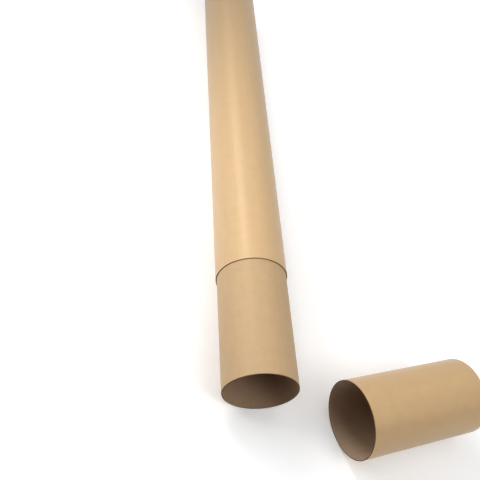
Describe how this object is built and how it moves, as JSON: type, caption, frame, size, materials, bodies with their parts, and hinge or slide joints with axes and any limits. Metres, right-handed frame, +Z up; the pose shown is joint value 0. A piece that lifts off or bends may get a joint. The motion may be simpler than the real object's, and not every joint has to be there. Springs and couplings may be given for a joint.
{
  "type": "poster tube",
  "caption": "Round kraft board poster tube with a glued-in neck and an open mouth, lying on its side with its closed slip-on cap taken off beside it.",
  "frame": {"origin": "on the surface the tube and cap lie on, under the middle of their footprint", "axes": "+Z up, the tube's axis along Y with its mouth towards -Y, the cap on the +X side of the mouth"},
  "size_m": [0.2848, 0.8012, 0.0803],
  "materials": {
    "outer_tube": "smooth machine-glazed kraft",
    "inner_tube": "matte kraft",
    "base_disc": "matte board",
    "cap_tube": "smooth machine-glazed kraft",
    "cap_disc": "matte board"
  },
  "bodies": {
    "root": {"outer_tube": "outer_tube", "inner_tube": "inner_tube", "base_disc": "base_disc", "cap_tube": "cap_tube", "cap_disc": "cap_disc"}
  },
  "joints": []
}
